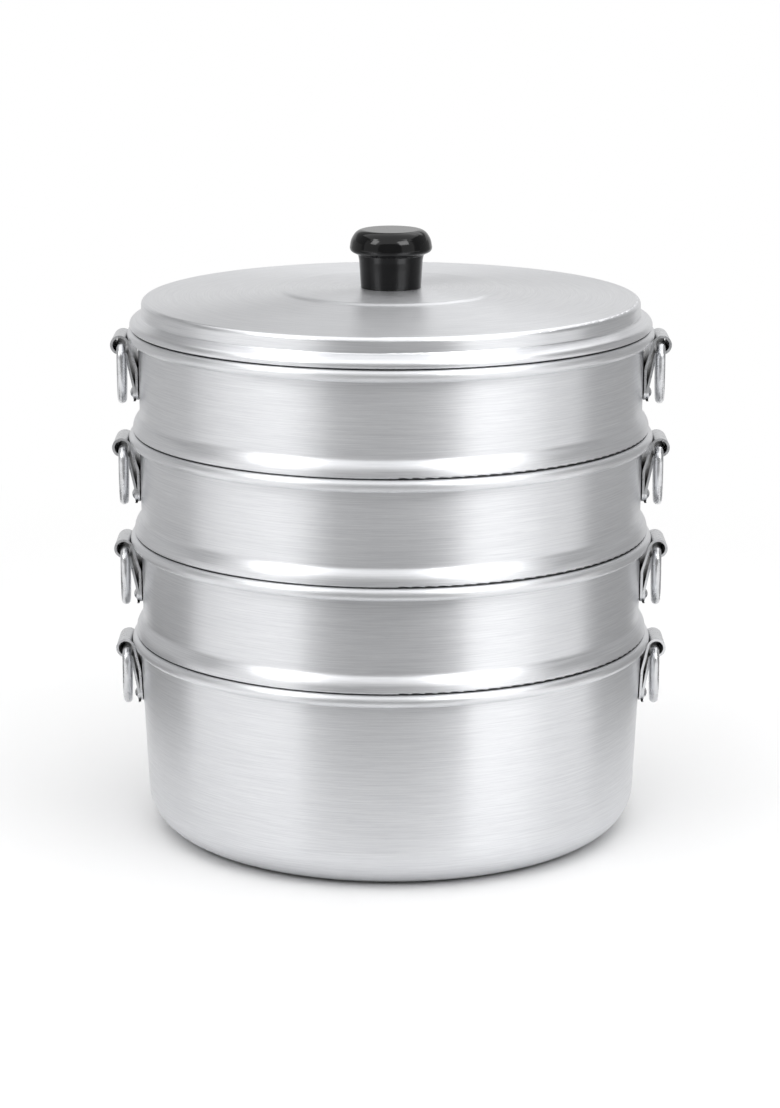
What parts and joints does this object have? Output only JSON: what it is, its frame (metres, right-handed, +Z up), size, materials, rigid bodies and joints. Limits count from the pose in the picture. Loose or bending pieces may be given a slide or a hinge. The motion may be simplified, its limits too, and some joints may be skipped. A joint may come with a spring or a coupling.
{
  "type": "steamer pot",
  "caption": "Round stacked steamer: a pot, pierced trays that stand in one another's rims, and a stepped lid with a knob; every pan has drop rings in riveted strap lugs.",
  "frame": {"origin": "centre of the pot's flat base, on the surface that it stands on", "axes": "+Z up along the stack's axis; the ring handles lie at +X (right) and -X (left); -Y is the front"},
  "size_m": [0.2972, 0.28, 0.3233],
  "materials": {
    "spun_aluminium": "brushed round the axis, satin",
    "strap_aluminium": "rolled strip, satin",
    "rivet_aluminium": "tumbled",
    "ring_wire": "drawn wire, satin",
    "phenolic": "moulded, gloss",
    "brass": "turned",
    "plated_steel": "zinc plated"
  },
  "bodies": {
    "pot": {"pot_shell": "spun_aluminium", "pot_left_lug": "strap_aluminium", "pot_left_rivets": "rivet_aluminium", "pot_right_lug": "strap_aluminium", "pot_right_rivets": "rivet_aluminium"},
    "tray_1": {"tray_1_shell": "spun_aluminium", "tray_1_left_lug": "strap_aluminium", "tray_1_left_rivets": "rivet_aluminium", "tray_1_right_lug": "strap_aluminium", "tray_1_right_rivets": "rivet_aluminium"},
    "tray_2": {"tray_2_shell": "spun_aluminium", "tray_2_left_lug": "strap_aluminium", "tray_2_left_rivets": "rivet_aluminium", "tray_2_right_lug": "strap_aluminium", "tray_2_right_rivets": "rivet_aluminium"},
    "tray_3": {"tray_3_shell": "spun_aluminium", "tray_3_left_lug": "strap_aluminium", "tray_3_left_rivets": "rivet_aluminium", "tray_3_right_lug": "strap_aluminium", "tray_3_right_rivets": "rivet_aluminium"},
    "lid": {"lid_shell": "spun_aluminium", "lid_knob": "phenolic", "knob_insert": "brass", "knob_screw": "plated_steel", "knob_washer": "plated_steel"},
    "pot_right_ring": {"pot_right_ring": "ring_wire"},
    "pot_left_ring": {"pot_left_ring": "ring_wire"},
    "tray_1_right_ring": {"tray_1_right_ring": "ring_wire"},
    "tray_1_left_ring": {"tray_1_left_ring": "ring_wire"},
    "tray_2_right_ring": {"tray_2_right_ring": "ring_wire"},
    "tray_2_left_ring": {"tray_2_left_ring": "ring_wire"},
    "tray_3_right_ring": {"tray_3_right_ring": "ring_wire"},
    "tray_3_left_ring": {"tray_3_left_ring": "ring_wire"}
  },
  "joints": [
    {"name": "tray_1_lift", "type": "slide", "parent": "pot", "child": "tray_1", "axis": [0, 0, 1], "range_m": [0, 0.12]},
    {"name": "tray_2_lift", "type": "slide", "parent": "tray_1", "child": "tray_2", "axis": [0, 0, 1], "range_m": [0, 0.12]},
    {"name": "tray_3_lift", "type": "slide", "parent": "tray_2", "child": "tray_3", "axis": [0, 0, 1], "range_m": [0, 0.12]},
    {"name": "lid_lift", "type": "slide", "parent": "tray_3", "child": "lid", "axis": [0, 0, 1], "range_m": [0, 0.12]},
    {"name": "pot_right_ring_swing", "type": "hinge", "parent": "pot", "child": "pot_right_ring", "pos_m": [0.14352, 0, 0.09669], "axis": [-0.0611, -0.9981, 0], "range_deg": [-3, 120]},
    {"name": "pot_left_ring_swing", "type": "hinge", "parent": "pot", "child": "pot_left_ring", "pos_m": [-0.14352, 0, 0.09669], "axis": [-0.0611, 0.9981, 0], "range_deg": [-3, 120]},
    {"name": "tray_1_right_ring_swing", "type": "hinge", "parent": "tray_1", "child": "tray_1_right_ring", "pos_m": [0.14352, 0, 0.15199], "axis": [-0.0611, -0.9981, 0], "range_deg": [-3, 120]},
    {"name": "tray_1_left_ring_swing", "type": "hinge", "parent": "tray_1", "child": "tray_1_left_ring", "pos_m": [-0.14352, 0, 0.15199], "axis": [-0.0611, 0.9981, 0], "range_deg": [-3, 120]},
    {"name": "tray_2_right_ring_swing", "type": "hinge", "parent": "tray_2", "child": "tray_2_right_ring", "pos_m": [0.14352, 0, 0.20729], "axis": [-0.0611, -0.9981, 0], "range_deg": [-3, 120]},
    {"name": "tray_2_left_ring_swing", "type": "hinge", "parent": "tray_2", "child": "tray_2_left_ring", "pos_m": [-0.14352, 0, 0.20729], "axis": [-0.0611, 0.9981, 0], "range_deg": [-3, 120]},
    {"name": "tray_3_right_ring_swing", "type": "hinge", "parent": "tray_3", "child": "tray_3_right_ring", "pos_m": [0.14352, 0, 0.26259], "axis": [-0.0611, -0.9981, 0], "range_deg": [-3, 120]},
    {"name": "tray_3_left_ring_swing", "type": "hinge", "parent": "tray_3", "child": "tray_3_left_ring", "pos_m": [-0.14352, 0, 0.26259], "axis": [-0.0611, 0.9981, 0], "range_deg": [-3, 120]}
  ]
}
